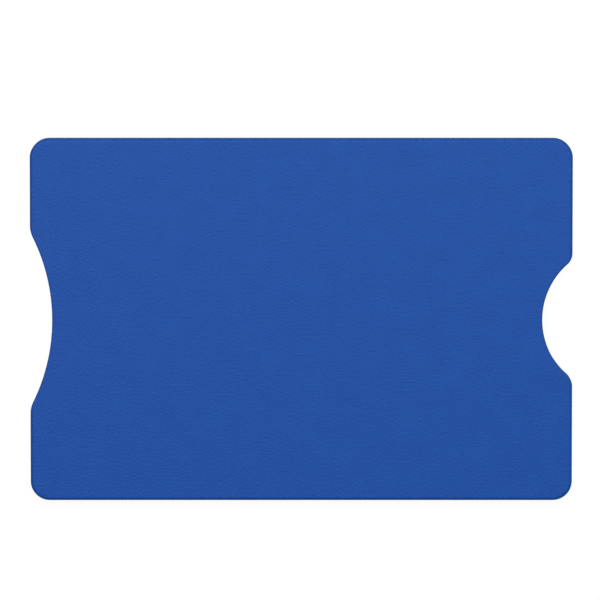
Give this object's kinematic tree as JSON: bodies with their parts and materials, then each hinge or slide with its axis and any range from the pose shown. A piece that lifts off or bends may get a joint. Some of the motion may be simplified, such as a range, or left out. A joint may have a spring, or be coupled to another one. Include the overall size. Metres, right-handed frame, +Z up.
{
  "type": "rfid card sleeve",
  "caption": "Rigid flat sleeve for a bank card: open mouth with a thumb notch at one end, card stops with a wide push notch at the other, foil shield inside.",
  "frame": {"origin": "middle of the rear face, on the plane that the sleeve lies on", "axes": "+X along the card towards the mouth and thumb notch, +Y across the card, +Z up through the front face"},
  "size_m": [0.09, 0.0602, 0.004],
  "materials": {
    "shell_plastic": "fine matte moulded texture, mid blue",
    "adhesive_film": "clear yellowish pressure-sensitive film",
    "shield_foil": "soft bright rolled aluminium foil",
    "slip_liner": "smooth satin pale grey film"
  },
  "bodies": {
    "root": {"front_shell": "shell_plastic", "rear_shell": "shell_plastic", "front_adhesive_film": "adhesive_film", "rear_adhesive_film": "adhesive_film", "front_shield_foil": "shield_foil", "rear_shield_foil": "shield_foil", "front_slip_liner": "slip_liner", "rear_slip_liner": "slip_liner"}
  },
  "joints": []
}
